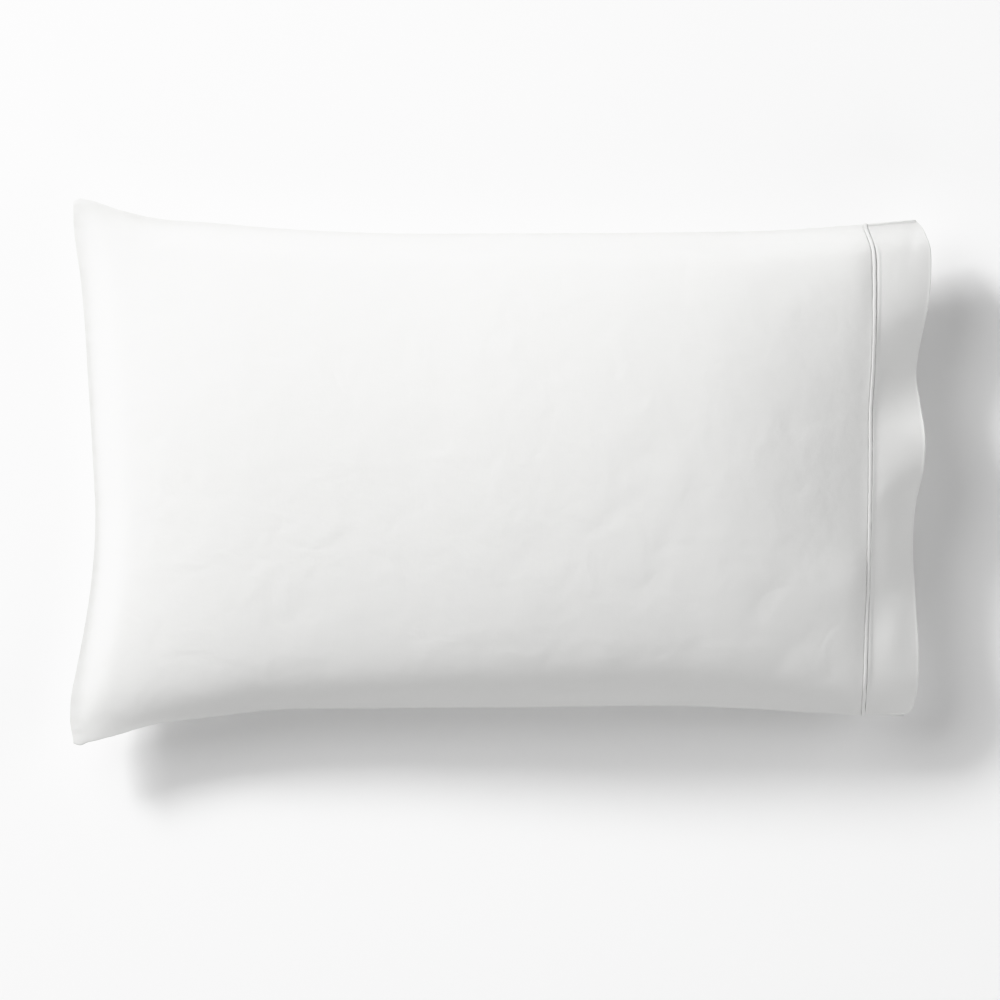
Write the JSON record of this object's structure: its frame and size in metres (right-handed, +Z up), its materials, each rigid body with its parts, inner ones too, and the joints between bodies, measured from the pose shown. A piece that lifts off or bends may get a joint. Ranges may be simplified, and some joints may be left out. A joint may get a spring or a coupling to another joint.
{
  "type": "pillowcase",
  "caption": "Filled bed pillowcase lying on its back, with drawn-in sides, pointed ears at the closed end and a piped, open cuff whose edge falls in soft waves.",
  "frame": {"origin": "on the surface that the case lies on, under the middle of its box", "axes": "+X along the case from the closed end to the open cuff, +Y to the far side, +Z up out of its upper face"},
  "size_m": [0.7922, 0.5036, 0.1447],
  "materials": {
    "case_cotton": "smooth closely woven white cotton with a faint sheen",
    "cuff_cotton": "smooth closely woven white cotton, doubled and pressed",
    "piping_cotton": "narrow folded strip of the same white cotton, edge stitched"
  },
  "bodies": {
    "root": {"case_body": "case_cotton", "cuff": "cuff_cotton", "piping": "piping_cotton"}
  },
  "joints": []
}
